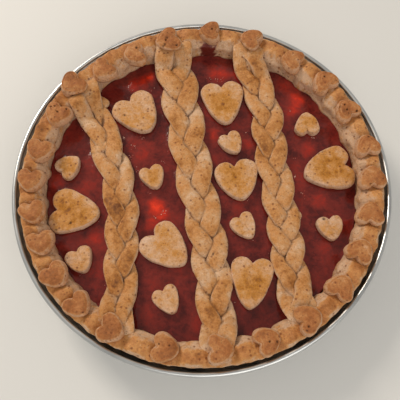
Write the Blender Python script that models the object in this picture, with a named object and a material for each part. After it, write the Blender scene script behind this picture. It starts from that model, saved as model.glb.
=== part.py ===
"""Cherry pie in its own plain round tin: crimped crust, cherry filling, three plaits and pastry hearts."""

import math

import bmesh
import bpy
from mathutils import Vector

# Driving dimensions in metres. The origin is the centre of the tin's flat base.
TIN_RADIUS = 0.1250
TIN_HEIGHT = 0.0350
TIN_BASE_RADIUS = 0.0945
TIN_SHEET = 0.0008
BEAD_RADIUS = 0.0016
FLANGE_INNER_RADIUS = 0.1165
FLANGE_DROP = 0.0020
GAP = 0.0005

BORDER_INNER_RADIUS = 0.1062
BORDER_OUTER_RADIUS = 0.1196
BORDER_CREST_RADIUS = 0.1150
BORDER_RISE_RADIUS = 0.1022
BORDER_INNER_DROP = 0.0030
BORDER_CREST_RISE = 0.0008
BORDER_OUTER_FALL = 0.0008
CRUST_THICKNESS = 0.0050
WALL_LEAN = 0.0004
CRIMP_HEIGHT = 0.0018
CRIMP_TO_HEART = math.radians(3.5)
CRIMP_INNER_RADIUS = 0.1078
CRIMP_FULL_RADIUS = 0.1115

FILLING_DROP = 0.0130
REST_GAP = 0.0004

PLAIT_END_RADIUS = 0.1064
CORE_END_RADIUS = 0.1010
CORE_HEIGHT = 0.0042
CORE_SHARE = 0.34
STRAND_SHARE = 0.50
STRAND_THICKNESS = 0.0062
STRAND_SPACING_HEIGHT = 0.0016
LOOSE_END_RADIUS = 0.0042

LARGE_HEART_THICKNESS = 0.0065
SMALL_HEART_THICKNESS = 0.0060
RIM_HEART_THICKNESS = 0.0056
RIM_HEART_WIDTH = 0.0178
RIM_HEART_LENGTH = 0.0160
RIM_HEART_RADIUS = 0.1110

CRUST_SEGMENTS = 104
TIN_SEGMENTS = 52
STRAND_STEP = 0.0077
STRAND_SIDES = 6

FILLING_LEVEL = TIN_HEIGHT - FILLING_DROP
FILLING_RADIUS = BORDER_INNER_RADIUS - WALL_LEAN - GAP
FLANGE_LEVEL = TIN_HEIGHT - FLANGE_DROP

# Compass bearings of the rim hearts, clockwise from the far side, uneven as they were laid by hand.
RIM_HEART_BEARINGS = (
    2.9, 18.6, 36.0, 50.4, 64.0, 79.0, 90.8, 103.8, 117.2, 131.0, 145.6, 159.6, 174.2,
    190.8, 208.0, 221.0, 233.2, 245.2, 256.4, 267.8, 279.2, 294.4, 306.6, 319.0, 332.8, 346.7,
)
# Hearts of their own distance from the axis, and of their own size; the others differ by a little.
RIM_HEART_RADII = {
    1: 0.1140, 2: 0.1116, 4: 0.1124, 6: 0.1128, 21: 0.1094, 22: 0.1088, 23: 0.1126, 24: 0.1072, 25: 0.1066,
    26: 0.1080,
}
RIM_HEART_SIZES = {1: 0.96, 22: 1.06, 23: 1.10, 24: 1.02, 25: 1.00, 26: 1.14}
RIM_HEART_TWIST = math.radians(9)
# Six hearts lie over the ends of the plaits and are raised by the strands under them.
RAISED_RIM_HEARTS = (2, 11, 13, 15, 23, 26)
RIM_HEART_LIFT = 0.0060
RIM_HEART_LEAN = 0.12
RIM_HEART_SEAT = 0.0011

# Name, centre x, centre y, direction of the tip in degrees, width, length.
LARGE_HEARTS = (
    ("large_heart_1", -0.0452, 0.0522, -57, 0.0318, 0.0332),
    ("large_heart_2", 0.0158, 0.0612, -84, 0.0308, 0.0345),
    ("large_heart_3", 0.0247, 0.0010, -78, 0.0298, 0.0292),
    ("large_heart_4", 0.0862, 0.0090, -166, 0.0318, 0.0340),
    ("large_heart_5", -0.0836, -0.0216, -5, 0.0312, 0.0330),
    ("large_heart_6", -0.0221, -0.0462, -44, 0.0292, 0.0320),
    ("large_heart_7", 0.0313, -0.0690, -96, 0.0276, 0.0335),
)
SMALL_HEARTS = (
    ("small_heart_1", -0.0908, 0.0120, 44, 0.0170, 0.0172),
    ("small_heart_2", -0.0775, -0.0545, -63, 0.0175, 0.0172),
    ("small_heart_3", -0.0330, 0.0032, -68, 0.0172, 0.0175),
    ("small_heart_4", 0.0213, 0.0290, -61, 0.0165, 0.0172),
    ("small_heart_5", 0.0749, 0.0446, 91, 0.0178, 0.0172),
    ("small_heart_6", 0.0285, -0.0318, -58, 0.0168, 0.0178),
    ("small_heart_7", 0.0846, -0.0330, -82, 0.0175, 0.0170),
    ("small_heart_8", -0.0208, -0.0798, -61, 0.0172, 0.0182),
)

# Name, width at the far end, width at the near end, side of the first strand that dives under at the middle,
# y of the places where a strand from one side and then the other dives, and the route from far to near.
PLAITS = (
    ("plait_left", 0.0255, 0.0215, "right",
     (0.044, 0.024, 0.011, -0.004, -0.017, -0.030, -0.0415, -0.053, -0.064, -0.080),
     ((-0.0905, 0.0790), (-0.0792, 0.0565), (-0.0680, 0.0310), (-0.0578, 0.0040),
      (-0.0527, -0.0240), (-0.0514, -0.0580), (-0.0500, -0.1050))),
    ("plait_middle", 0.0305, 0.0236, "left",
     (0.066, 0.052, 0.035, 0.020, 0.004, -0.011, -0.027, -0.0385, -0.051, -0.062, -0.0745, -0.088),
     ((-0.0240, 0.1130), (-0.0180, 0.0820), (-0.0112, 0.0420), (-0.0040, 0.0000),
      (0.0034, -0.0380), (0.0076, -0.0700), (0.0112, -0.1140))),
    ("plait_right", 0.0248, 0.0228, "left",
     (0.0695, 0.0555, 0.043, 0.032, 0.019, 0.006, -0.009, -0.0205, -0.031, -0.0405, -0.050, -0.0615, -0.074),
     ((0.0310, 0.1120), (0.0390, 0.0800), (0.0458, 0.0560), (0.0486, 0.0180), (0.0530, -0.0200),
      (0.0562, -0.0560), (0.0606, -0.1000))),
)
# The strand on its way from the left crosses the middle and dives a little after half a turn.
DIVE_TURN = {"left": 0.525, "right": 1.025}
SWAY_POINT = 0.90
# Plait, root inside the plait, tip beyond its side: strand ends that stick out.
LOOSE_ENDS = (
    ("plait_left", (-0.0805, 0.0650), (-0.0668, 0.0604)),
    ("plait_left", (-0.0640, 0.0280), (-0.0765, 0.0215)),
    ("plait_right", (0.0540, -0.0350), (0.0650, -0.0215)),
    ("plait_middle", (0.0060, -0.0690), (0.0165, -0.0590)),
)


def clear_scene():
    for thing in list(bpy.data.objects):
        bpy.data.objects.remove(thing, do_unlink=True)


def material(name, colour, roughness, metallic=0.0):
    made = bpy.data.materials.new(name)
    made.use_nodes = True
    shader = made.node_tree.nodes["Principled BSDF"]
    shader.inputs["Base Color"].default_value = (*colour, 1.0)
    shader.inputs["Roughness"].default_value = roughness
    shader.inputs["Metallic"].default_value = metallic
    return made


def add_object(name, mesh, surface):
    """Recalculates the mesh's normals and links it to the scene as one smooth-shaded object."""
    bmesh.ops.recalc_face_normals(mesh, faces=mesh.faces)
    data = bpy.data.meshes.new(name)
    mesh.to_mesh(data)
    mesh.free()
    data.shade_smooth()
    data.set_sharp_from_angle(angle=math.radians(40))
    data.materials.append(surface)
    thing = bpy.data.objects.new(name, data)
    bpy.context.scene.collection.objects.link(thing)
    return thing


def turned_body(profile, segments, ring=False):
    """Spins a profile of (radius, height) points into a closed body: from axis to axis, or a closed ring."""
    mesh = bmesh.new()
    points = [mesh.verts.new((radius, 0.0, height)) for radius, height in profile]
    edges = [mesh.edges.new(pair) for pair in zip(points, points[1:])]
    if ring:
        edges.append(mesh.edges.new((points[-1], points[0])))
    bmesh.ops.spin(
        mesh, geom=points + edges, cent=(0, 0, 0), axis=(0, 0, 1),
        angle=math.tau, steps=segments, use_merge=True,
    )
    bmesh.ops.remove_doubles(mesh, verts=mesh.verts, dist=0.00001)
    return mesh


def blend(value, low, high):
    """Smooth step from 0 at low to 1 at high."""
    share = min(max((value - low) / (high - low), 0.0), 1.0)
    return share * share * (3 - 2 * share)


def tin_profile():
    bead_centre = (TIN_RADIUS - BEAD_RADIUS, TIN_HEIGHT - BEAD_RADIUS)
    first_turn = -math.pi - math.asin((FLANGE_LEVEL - TIN_SHEET - bead_centre[1]) / BEAD_RADIUS)
    last_turn = math.pi - math.asin((FLANGE_LEVEL - bead_centre[1]) / BEAD_RADIUS)
    bead_steps = 6
    bead = []
    for step in range(bead_steps + 1):
        turn = first_turn + (last_turn - first_turn) * step / bead_steps
        radius = bead_centre[0] + BEAD_RADIUS * math.cos(turn)
        height = bead_centre[1] + BEAD_RADIUS * math.sin(turn)
        bead.append((radius, height))
    outer_wall = [
        (0.0, 0.0),
        (TIN_BASE_RADIUS, 0.0),
        (TIN_BASE_RADIUS + 2 * TIN_SHEET, TIN_SHEET),
        (FLANGE_INNER_RADIUS + TIN_SHEET, FLANGE_LEVEL - TIN_SHEET),
    ]
    inner_wall = [
        (FLANGE_INNER_RADIUS, FLANGE_LEVEL),
        (TIN_BASE_RADIUS + TIN_SHEET, 2 * TIN_SHEET),
        (TIN_BASE_RADIUS - TIN_SHEET, TIN_SHEET),
        (0.0, TIN_SHEET),
    ]
    return outer_wall + bead + inner_wall


def border_height(radius):
    """Height of the crust's border above the base plane, without its crimps."""
    crest = TIN_HEIGHT + BORDER_CREST_RISE
    if radius < BORDER_CREST_RADIUS:
        rise = blend(radius, BORDER_RISE_RADIUS, BORDER_CREST_RADIUS)
        return TIN_HEIGHT - BORDER_INNER_DROP + (crest - TIN_HEIGHT + BORDER_INNER_DROP) * rise
    fall = (radius - BORDER_CREST_RADIUS) / (BORDER_OUTER_RADIUS - BORDER_CREST_RADIUS)
    return crest - BORDER_OUTER_FALL * min(fall, 1.0) ** 2


def crimps_between_hearts():
    """Bearing and half width of each crimp: midway between two rim hearts, as wide as they leave room for."""
    crimps = []
    following = RIM_HEART_BEARINGS[1:] + (RIM_HEART_BEARINGS[0] + 360,)
    for here, ahead in zip(RIM_HEART_BEARINGS, following):
        crimps.append((math.radians((here + ahead) / 2), math.radians((ahead - here) / 2) - CRIMP_TO_HEART))
    return crimps


def crust_profile():
    wall_slope = (FLANGE_INNER_RADIUS - TIN_BASE_RADIUS) / FLANGE_LEVEL
    foot_level = TIN_SHEET + GAP
    inner_foot = TIN_BASE_RADIUS - CRUST_THICKNESS
    inner_round = 0.0008
    border_radii = (BORDER_INNER_RADIUS + inner_round, 0.1095, 0.1130, 0.1165)
    profile = [
        (0.0, foot_level + CRUST_THICKNESS),
        (inner_foot, foot_level + CRUST_THICKNESS),
        (BORDER_INNER_RADIUS - WALL_LEAN, FILLING_LEVEL),
        (BORDER_INNER_RADIUS, TIN_HEIGHT - BORDER_INNER_DROP - inner_round),
    ]
    profile += [(radius, border_height(radius)) for radius in border_radii]
    profile += [
        (BORDER_OUTER_RADIUS, border_height(BORDER_OUTER_RADIUS)),
        (BORDER_OUTER_RADIUS, FLANGE_LEVEL + GAP),
        (FLANGE_INNER_RADIUS - GAP, FLANGE_LEVEL + GAP),
        (TIN_BASE_RADIUS - 2 * GAP + 2 * TIN_SHEET * wall_slope, 2 * TIN_SHEET + GAP),
        (TIN_BASE_RADIUS - 2 * TIN_SHEET - GAP, foot_level),
        (0.0, foot_level),
    ]
    return profile


def make_crust(surface):
    mesh = turned_body(crust_profile(), CRUST_SEGMENTS)
    crimps = crimps_between_hearts()
    for point in mesh.verts:
        radius = math.hypot(point.co.x, point.co.y)
        if radius < CRIMP_INNER_RADIUS or point.co.z < FLANGE_LEVEL + 2 * GAP:
            continue
        bearing = math.atan2(point.co.x, point.co.y) % math.tau
        away = min(abs((bearing - crimp + math.pi) % math.tau - math.pi) / width for crimp, width in crimps)
        window = blend(radius, CRIMP_INNER_RADIUS, CRIMP_FULL_RADIUS)
        point.co.z += CRIMP_HEIGHT * window * (1 - blend(away, 0.0, 1.0))
    return add_object("crust", mesh, surface)


def make_filling(surface):
    floor = TIN_SHEET + CRUST_THICKNESS + 2 * GAP
    foot_radius = TIN_BASE_RADIUS - CRUST_THICKNESS - 2 * GAP
    profile = [
        (0.0, FILLING_LEVEL),
        (FILLING_RADIUS, FILLING_LEVEL),
        (foot_radius, floor),
        (0.0, floor),
    ]
    return add_object("filling", turned_body(profile, TIN_SEGMENTS), surface)


def heart_outline(width, length, lobe_steps, side_steps):
    """A plump heart about its centre, tip towards +X: two arcs for the lobes, two full sides and a round tip."""
    lobe = 0.262 * width
    offset = width / 2 - lobe
    lobe_x = -length / 2 + lobe
    arc_end = math.radians(-8)
    arc_start = math.pi / 2 + math.asin(offset / lobe)
    half = []
    for step in range(lobe_steps + 1):
        turn = arc_start + (arc_end - arc_start) * step / lobe_steps
        half.append(Vector((lobe_x - lobe * math.sin(turn), offset + lobe * math.cos(turn))))
    start = half[-1]
    tip = Vector((length / 2, 0.0))
    leaving = start + Vector((math.cos(arc_end), math.sin(arc_end))) * (0.30 * length)
    arriving = tip + Vector((-0.03 * length, 0.23 * width))
    for step in range(1, side_steps + 1):
        t = step / side_steps
        upper = start * (1 - t) ** 3 + leaving * 3 * t * (1 - t) ** 2
        half.append(upper + arriving * 3 * t ** 2 * (1 - t) + tip * t ** 3)
    mirrored = [Vector((point.x, -point.y)) for point in reversed(half[1:-1])]
    return half + mirrored


def layered_body(outline, layers, low_centre, high_centre):
    """Stacks copies of an outline, each (scale, height function), and closes both ends with fans."""
    mesh = bmesh.new()
    rings = []
    for scale, height in layers:
        rings.append([mesh.verts.new((p.x * scale, p.y * scale, height(p * scale))) for p in outline])
    count = len(outline)
    for lower, upper in zip(rings, rings[1:]):
        for here in range(count):
            ahead = (here + 1) % count
            mesh.faces.new((lower[here], lower[ahead], upper[ahead], upper[here]))
    for ring, centre in ((rings[0], low_centre), (rings[-1], high_centre)):
        middle = mesh.verts.new((0.0, 0.0, centre))
        for here in range(count):
            mesh.faces.new((ring[here], ring[(here + 1) % count], middle))
    return mesh


def make_filling_heart(name, x, y, tip_degrees, width, length, thickness, steps, surface):
    outline = heart_outline(width, length, *steps)
    layers = (
        (0.95, lambda p: 0.0),
        (1.00, lambda p: 0.28 * thickness),
        (0.99, lambda p: 0.70 * thickness),
        (0.88, lambda p: 0.96 * thickness),
    )
    thing = add_object(name, layered_body(outline, layers, 0.0, thickness), surface)
    thing.location = (x, y, FILLING_LEVEL + REST_GAP)
    thing.rotation_euler.z = math.radians(tip_degrees)
    return thing


def make_rim_heart(number, surface):
    """Lies across the border with one lobe towards the filling and the other over the tin's bead."""
    bearing = math.radians(RIM_HEART_BEARINGS[number - 1])
    size = RIM_HEART_SIZES.get(number, 1 + 0.03 * math.sin(1.9 * number))
    place = RIM_HEART_RADII.get(number, RIM_HEART_RADIUS + 0.0008 * math.sin(1.3 * number))
    lift = RIM_HEART_LIFT if number in RAISED_RIM_HEARTS else 0.0
    outward = Vector((math.sin(bearing), math.cos(bearing)))
    centre = outward * place
    turn = math.atan2(outward.y, outward.x) + math.pi / 2 + RIM_HEART_TWIST * math.sin(2.7 * number)

    def radius_at(point):
        along = Vector((math.cos(turn), math.sin(turn)))
        across = Vector((-math.sin(turn), math.cos(turn)))
        return (centre + along * point.x + across * point.y).length

    def rest(point):
        radius = radius_at(point)
        level = border_height(max(radius, BORDER_INNER_RADIUS))
        if radius > BORDER_CREST_RADIUS:
            level = max(level, TIN_HEIGHT + GAP)
        raised = 1 - blend(radius, BORDER_INNER_RADIUS + 0.0010, BORDER_INNER_RADIUS + 0.0060)
        return level + RIM_HEART_SEAT + lift * raised

    def top(point):
        lean = RIM_HEART_LEAN * (radius_at(point) - RIM_HEART_RADIUS)
        return TIN_HEIGHT + RIM_HEART_SEAT + RIM_HEART_THICKNESS + lean + 0.4 * lift

    outline = heart_outline(size * RIM_HEART_WIDTH, size * RIM_HEART_LENGTH, 3, 2)
    layers = (
        (0.92, rest),
        (1.00, lambda p: rest(p) * 0.65 + top(p) * 0.35),
        (0.93, lambda p: rest(p) * 0.25 + top(p) * 0.75),
        (0.68, top),
    )
    origin = Vector((0.0, 0.0))
    mesh = layered_body(outline, layers, rest(origin), top(origin) + 0.0004)
    thing = add_object(f"rim_heart_{number:02d}", mesh, surface)
    thing.location = (centre.x, centre.y, 0.0)
    thing.rotation_euler.z = turn
    return thing


def smooth_route(points, step):
    """Points about one step apart along a Catmull-Rom curve through the route's points."""
    route = [Vector(p) for p in points]
    ends = [route[0] * 2 - route[1]] + route + [route[-1] * 2 - route[-2]]
    dense = []
    for a, b, c, d in zip(ends, ends[1:], ends[2:], ends[3:]):
        for part in range(20):
            t = part / 20
            rising = (c - a) * t + (2 * a - 5 * b + 4 * c - d) * t ** 2
            dense.append(0.5 * (2 * b + rising + (3 * b - a - 3 * c + d) * t ** 3))
    dense.append(route[-1])
    lengths = [0.0]
    for here, ahead in zip(dense, dense[1:]):
        lengths.append(lengths[-1] + (ahead - here).length)
    count = round(lengths[-1] / step)
    even = []
    at = 0
    for number in range(count + 1):
        wanted = lengths[-1] * number / count
        while at < len(lengths) - 2 and lengths[at + 1] < wanted:
            at += 1
        share = (wanted - lengths[at]) / (lengths[at + 1] - lengths[at])
        even.append(dense[at].lerp(dense[at + 1], share))
    return even, lengths[-1] / count


def rest_level(point):
    """Height that a plait rests on: the filling, then up over the border's inner edge."""
    climb = blend(point.length, BORDER_INNER_RADIUS - 0.0120, BORDER_INNER_RADIUS - 0.0010)
    top = TIN_HEIGHT - BORDER_INNER_DROP + 0.0008
    return FILLING_LEVEL + REST_GAP + (top - FILLING_LEVEL) * climb


def trimmed(stations, radius):
    """Keeps the stretch of a tube that lies within a radius of the axis, cut exactly at its ends."""
    distances = [centre.xy.length for centre, _, _ in stations]
    kept = []
    for number, station in enumerate(stations):
        inside = distances[number] <= radius
        before = number - 1
        if number > 0 and inside != (distances[before] <= radius):
            share = (radius - distances[before]) / (distances[number] - distances[before])
            centre = stations[before][0].lerp(station[0], share)
            width = stations[before][1] * (1 - share) + station[1] * share
            height = stations[before][2] * (1 - share) + station[2] * share
            kept.append((centre, width, height))
        if inside:
            kept.append(station)
    return kept


def tube(stations, sides):
    """A flattened tube along (centre, half width, half height) stations, level across, with closed ends."""
    mesh = bmesh.new()
    rings = []
    last = len(stations) - 1
    for number, (centre, half_width, half_height) in enumerate(stations):
        ahead = stations[min(number + 1, last)][0] - stations[max(number - 1, 0)][0]
        across = Vector((-ahead.y, ahead.x, 0.0)).normalized()
        ring = []
        for side in range(sides):
            turn = math.tau * side / sides
            offset = across * (half_width * math.cos(turn)) + Vector((0, 0, half_height * math.sin(turn)))
            ring.append(mesh.verts.new(centre + offset))
        rings.append(ring)
    for lower, upper in zip(rings, rings[1:]):
        for here in range(sides):
            ahead = (here + 1) % sides
            mesh.faces.new((lower[here], lower[ahead], upper[ahead], upper[here]))
    mesh.faces.new(rings[0])
    mesh.faces.new(rings[-1])
    return mesh


def drop_scraps(mesh):
    """Keeps only the largest connected piece of a mesh."""
    left = set(mesh.verts)
    islands = []
    while left:
        island = set()
        front = [left.pop()]
        while front:
            point = front.pop()
            island.add(point)
            for edge in point.link_edges:
                other = edge.other_vert(point)
                if other in left:
                    left.remove(other)
                    front.append(other)
        islands.append(island)
    largest = max(islands, key=len)
    scraps = [point for point in mesh.verts if point not in largest]
    bmesh.ops.delete(mesh, geom=scraps, context="VERTS")


def fuse(name, pieces, clearance, surface):
    """Joins overlapping closed pieces into one body, cuts the border's clearance from it, removes the pieces."""
    parts = bpy.data.collections.new(name + "_pieces")
    for piece in pieces[1:]:
        bpy.context.scene.collection.objects.unlink(piece)
        parts.objects.link(piece)
    bpy.context.scene.collection.children.link(parts)
    join = pieces[0].modifiers.new("join", "BOOLEAN")
    join.operation = "UNION"
    join.operand_type = "COLLECTION"
    join.collection = parts
    join.solver = "MANIFOLD"
    cut = pieces[0].modifiers.new("border_clearance", "BOOLEAN")
    cut.operation = "DIFFERENCE"
    cut.object = clearance
    cut.solver = "MANIFOLD"
    bpy.context.view_layer.update()
    evaluated = pieces[0].evaluated_get(bpy.context.evaluated_depsgraph_get())
    mesh = bmesh.new()
    mesh.from_mesh(evaluated.to_mesh())
    for piece in pieces:
        bpy.data.objects.remove(piece, do_unlink=True)
    bpy.data.collections.remove(parts)
    drop_scraps(mesh)
    return add_object(name, mesh, surface)


def dives_passed(y, dives):
    """How many dives lie between the far end and this y, with the fraction of the way to the next one."""
    spans = list(zip(dives, dives[1:]))
    for number, (far, near) in enumerate(spans):
        if y >= near or number == len(spans) - 1:
            return number + (far - y) / (far - near)


def sway(turn):
    """A strand's place across the plait, from -1 to 1: nearly straight on the way over, round at the turns."""
    return math.asin(SWAY_POINT * math.sin(turn)) / math.asin(SWAY_POINT)


def make_plait(name, far_width, near_width, first_side, dives, points, clearance, surface):
    """Three strands that weave over a narrow core; each crosses on top on its way in from the side."""
    route, _ = smooth_route(points, STRAND_STEP)
    middle_height = STRAND_THICKNESS / 2 + STRAND_SPACING_HEIGHT
    last = len(route) - 1
    widths = [far_width + (near_width - far_width) * number / last for number in range(last + 1)]
    pieces = []
    for strand in range(3):
        stations = []
        for number, point in enumerate(route):
            ahead = route[min(number + 1, last)] - route[max(number - 1, 0)]
            across = Vector((-ahead.y, ahead.x)).normalized()
            turn = math.tau * (dives_passed(point.y, dives) / 6 + DIVE_TURN[first_side] + strand / 3)
            squeeze = 1 - 0.50 * blend(point.length, BORDER_INNER_RADIUS - 0.008, BORDER_INNER_RADIUS)
            lift = middle_height - STRAND_SPACING_HEIGHT * math.sin(2 * turn)
            strand_width = STRAND_SHARE * widths[number]
            place = point - across * ((widths[number] - strand_width) / 2 * sway(turn))
            centre = Vector((place.x, place.y, rest_level(place) + lift * squeeze))
            stations.append((centre, strand_width / 2, STRAND_THICKNESS / 2 * squeeze))
        mesh = tube(trimmed(stations, PLAIT_END_RADIUS), STRAND_SIDES)
        pieces.append(add_object(f"{name}_strand", mesh, surface))
    core = []
    for point, width in zip(route, widths):
        centre = Vector((point.x, point.y, rest_level(point) + CORE_HEIGHT / 2 + 0.0002))
        core.append((centre, CORE_SHARE * width, CORE_HEIGHT / 2))
    pieces.append(add_object(f"{name}_core", tube(trimmed(core, CORE_END_RADIUS), 4), surface))
    for owner, root, tip in LOOSE_ENDS:
        if owner != name:
            continue
        start = Vector((*root, FILLING_LEVEL + REST_GAP + LOOSE_END_RADIUS))
        end = Vector((*tip, FILLING_LEVEL + REST_GAP + 0.8 * LOOSE_END_RADIUS))
        stations = []
        for share, size in ((0.0, 1.0), (0.5, 1.0), (0.85, 0.75), (1.0, 0.35)):
            radius = size * LOOSE_END_RADIUS
            stations.append((start.lerp(end, share), radius, 0.72 * radius))
        pieces.append(add_object(f"{name}_end", tube(stations, STRAND_SIDES), surface))
    return fuse(name, pieces, clearance, surface)


def make_clearance():
    """The border's inner edge with a small gap round it, cut from the plaits' ends."""
    inner = BORDER_INNER_RADIUS - 2 * GAP
    top = TIN_HEIGHT - BORDER_INNER_DROP + 0.0010
    profile = [
        (inner, FILLING_LEVEL - 0.01),
        (inner, top - 0.0010),
        (inner + 0.0010, top),
        (CRIMP_INNER_RADIUS, border_height(CRIMP_INNER_RADIUS) + 2 * GAP),
        (CRIMP_FULL_RADIUS, border_height(CRIMP_FULL_RADIUS) + CRIMP_HEIGHT + GAP),
        (TIN_RADIUS, TIN_HEIGHT + 0.0045),
        (TIN_RADIUS, FILLING_LEVEL - 0.01),
    ]
    mesh = turned_body(profile, CRUST_SEGMENTS, ring=True)
    cutter = add_object("crust_clearance", mesh, bpy.data.materials["crust"])
    cutter.hide_render = True
    cutter.display_type = "WIRE"
    return cutter


def build():
    clear_scene()
    metal = material("tin", (0.62, 0.63, 0.64), 0.35, 1.0)
    crust = material("crust", (0.47, 0.24, 0.10), 0.75)
    pastry = material("pastry", (0.56, 0.31, 0.14), 0.72)
    browned = material("browned_pastry", (0.42, 0.19, 0.08), 0.75)
    cherry = material("filling", (0.16, 0.004, 0.006), 0.12)
    add_object("tin", turned_body(tin_profile(), TIN_SEGMENTS), metal)
    make_crust(crust)
    make_filling(cherry)
    for heart in LARGE_HEARTS:
        make_filling_heart(*heart, LARGE_HEART_THICKNESS, (5, 4), pastry)
    for heart in SMALL_HEARTS:
        make_filling_heart(*heart, SMALL_HEART_THICKNESS, (4, 3), pastry)
    for number in range(1, len(RIM_HEART_BEARINGS) + 1):
        make_rim_heart(number, browned)
    clearance = make_clearance()
    for plait in PLAITS:
        make_plait(*plait, clearance, pastry)


build()
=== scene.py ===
import math

import bmesh
import bpy
from mathutils import Matrix, Vector, kdtree, noise


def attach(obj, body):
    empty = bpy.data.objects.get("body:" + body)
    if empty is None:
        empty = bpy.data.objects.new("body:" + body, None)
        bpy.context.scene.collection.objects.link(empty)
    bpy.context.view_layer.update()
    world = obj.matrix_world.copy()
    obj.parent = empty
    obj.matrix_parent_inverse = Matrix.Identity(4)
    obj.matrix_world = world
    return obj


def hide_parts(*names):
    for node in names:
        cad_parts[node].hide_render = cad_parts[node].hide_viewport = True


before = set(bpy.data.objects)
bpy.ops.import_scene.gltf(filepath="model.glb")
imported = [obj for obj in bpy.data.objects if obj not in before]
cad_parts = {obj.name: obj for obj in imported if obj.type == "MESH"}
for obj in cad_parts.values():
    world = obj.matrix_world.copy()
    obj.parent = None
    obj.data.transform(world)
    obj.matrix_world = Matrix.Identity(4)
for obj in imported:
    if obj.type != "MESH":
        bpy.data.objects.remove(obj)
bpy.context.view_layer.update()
scene = bpy.context.scene
noise.seed_set(7)  # vector noise starts from the clock otherwise, and the filling would differ in every run
print("frame loaded:", len(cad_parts), "nodes")


# small tools used by every piece

def toLinear(hexColour):
    parts = [int(hexColour[at:at + 2], 16) / 255 for at in (0, 2, 4)]
    return [part / 12.92 if part <= 0.04045 else ((part + 0.055) / 1.055) ** 2.4 for part in parts] + [1.0]


def fillSockets(tree, node, sockets):
    # a socket takes a value, an output or a node, which gives its first output
    for socket, value in sockets.items():
        if isinstance(value, bpy.types.Node):
            value = value.outputs[0]
        if isinstance(value, bpy.types.NodeSocket):
            tree.links.new(value, node.inputs[socket])
        else:
            node.inputs[socket].default_value = value


def addNode(tree, kind, sockets=None, stops=None, **settings):
    # settings go on the node, stops are (position, hex colour) of a ramp
    node = tree.nodes.new("ShaderNode" + kind)
    for name, value in settings.items():
        setattr(node, name, value)
    fillSockets(tree, node, sockets or {})
    if stops:
        ramp = node.color_ramp
        while len(ramp.elements) < len(stops):
            ramp.elements.new(1.0)
        for element, (position, colour) in zip(ramp.elements, stops):
            element.position = position
            element.color = toLinear(colour)
    return node


def smoothStep(value, low, high):
    share = min(max((value - low) / (high - low), 0.0), 1.0)
    return share * share * (3 - 2 * share)


def newMaterial(name):
    material = bpy.data.materials.new(name)
    material.use_nodes = True
    return material, material.node_tree, material.node_tree.nodes["Principled BSDF"]


def finishPiece(mesh, name, material, nodeNames=()):
    bmesh.ops.recalc_face_normals(mesh, faces=mesh.faces)
    data = bpy.data.meshes.new(name)
    mesh.to_mesh(data)
    mesh.free()
    data.shade_smooth()
    data.materials.append(material)
    piece = bpy.data.objects.new(name, data)
    scene.collection.objects.link(piece)
    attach(piece, "root")
    if nodeNames:
        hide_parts(*nodeNames)
    return piece


def nearestTree(places):
    tree = kdtree.KDTree(len(places))
    for number, place in enumerate(places):
        tree.insert(place, number)
    tree.balance()
    return tree


def smoothRoute(points, spacing, parts=24):
    # even points along a soft curve through the given ones
    route = [Vector(point) for point in points]
    ends = [route[0] * 2 - route[1]] + route + [route[-1] * 2 - route[-2]]
    dense = []
    for a, b, c, d in zip(ends, ends[1:], ends[2:], ends[3:]):
        for part in range(parts):
            t = part / parts
            rising = (c - a) * t + (2 * a - 5 * b + 4 * c - d) * t ** 2
            dense.append(0.5 * (2 * b + rising + (3 * b - a - 3 * c + d) * t ** 3))
    dense.append(route[-1])
    lengths = [0.0]
    for here, ahead in zip(dense, dense[1:]):
        lengths.append(lengths[-1] + (ahead - here).length)
    count = round(lengths[-1] / spacing)
    even = []
    at = 0
    for number in range(count + 1):
        wanted = lengths[-1] * number / count
        while at < len(lengths) - 2 and lengths[at + 1] < wanted:
            at += 1
        share = (wanted - lengths[at]) / (lengths[at + 1] - lengths[at])
        even.append(dense[at].lerp(dense[at + 1], share))
    return even


def spinProfile(profile, segments):
    # profile of (radius, height), closed to a body round the upright axis
    mesh = bmesh.new()
    points = [mesh.verts.new((radius, 0.0, height)) for radius, height in profile]
    edges = [mesh.edges.new(pair) for pair in zip(points, points[1:])]
    bmesh.ops.spin(mesh, geom=points + edges, cent=(0, 0, 0), axis=(0, 0, 1),
                   angle=math.tau, steps=segments, use_merge=True)
    bmesh.ops.remove_doubles(mesh, verts=mesh.verts, dist=0.000002)
    return mesh


# camera: looks steeply down from the near side
cameraSet = {"lens": 43.2, "sensor": 36.0, "elevation": 67.0, "distance": 0.3175,
             "rimPixel": (201.5, 176.5), "frame": 400}
elevation = math.radians(cameraSet["elevation"])
rimCentre = Vector((0.0, 0.0, 0.035))
cameraData = bpy.data.cameras.new("camera")
cameraData.lens = cameraSet["lens"]
cameraData.sensor_width = cameraSet["sensor"]
cameraData.clip_start = 0.01
camera = bpy.data.objects.new("camera", cameraData)
scene.collection.objects.link(camera)
camera.location = rimCentre + Vector((0.0, -math.cos(elevation), math.sin(elevation))) * cameraSet["distance"]
focalPixels = cameraSet["lens"] / cameraSet["sensor"] * cameraSet["frame"]
middle = cameraSet["frame"] / 2
seenAt = Vector(((cameraSet["rimPixel"][0] - middle) / focalPixels,
                 (middle - cameraSet["rimPixel"][1]) / focalPixels, -1.0)).normalized()
straight = (rimCentre - camera.location).to_track_quat("-Z", "Y")
camera.rotation_mode = "QUATERNION"
camera.rotation_quaternion = straight @ Vector((0.0, 0.0, -1.0)).rotation_difference(seenAt).inverted()
scene.camera = camera


# tin: deep dish of drawn tinplate with a rolled bead, the same lines as the solid, turned finer
tinSize = {"radius": 0.12485, "height": 0.0350, "base": 0.0945, "sheet": 0.0008, "bead": 0.0016,
           "flange": 0.1165, "flangeDrop": 0.0020, "segments": 288, "beadSteps": 20}


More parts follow.
